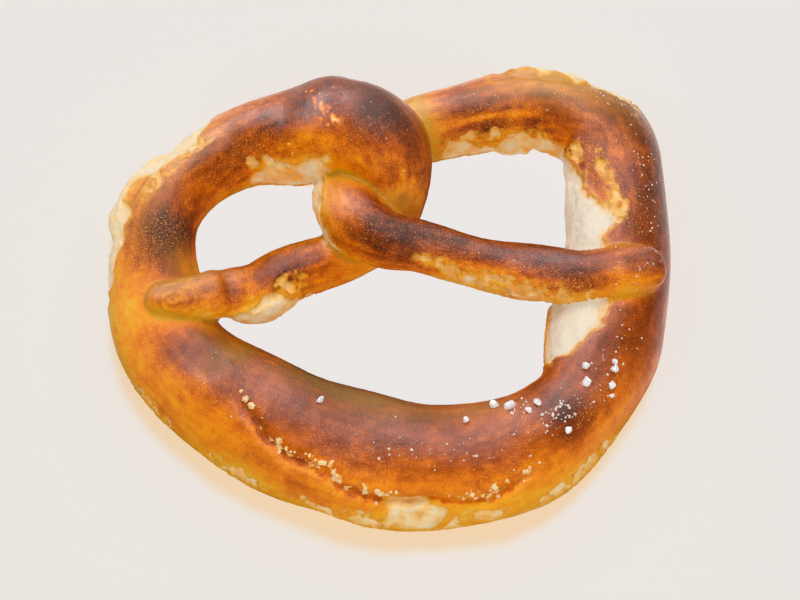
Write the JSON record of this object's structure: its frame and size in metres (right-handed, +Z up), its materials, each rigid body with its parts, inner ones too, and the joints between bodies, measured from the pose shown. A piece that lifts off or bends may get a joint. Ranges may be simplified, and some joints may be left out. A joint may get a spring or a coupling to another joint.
{
  "type": "soft pretzel",
  "caption": "Soft pretzel: a baked dough rope looped into a thick belly and lobes, its crossed arms pressed onto the belly, with a glossy brown crust and coarse salt.",
  "frame": {"origin": "under the middle of the outline, at the surface the pretzel lies on", "axes": "+X to the right across the widest extent, +Y from the belly to the knob, +Z up"},
  "size_m": [0.166, 0.1426, 0.0363],
  "materials": {
    "crust": "glossy baked crust, deep brown on the crests, orange on the flanks, cream where it tore open"
  },
  "bodies": {
    "root": {"pretzel": "crust"}
  },
  "joints": []
}
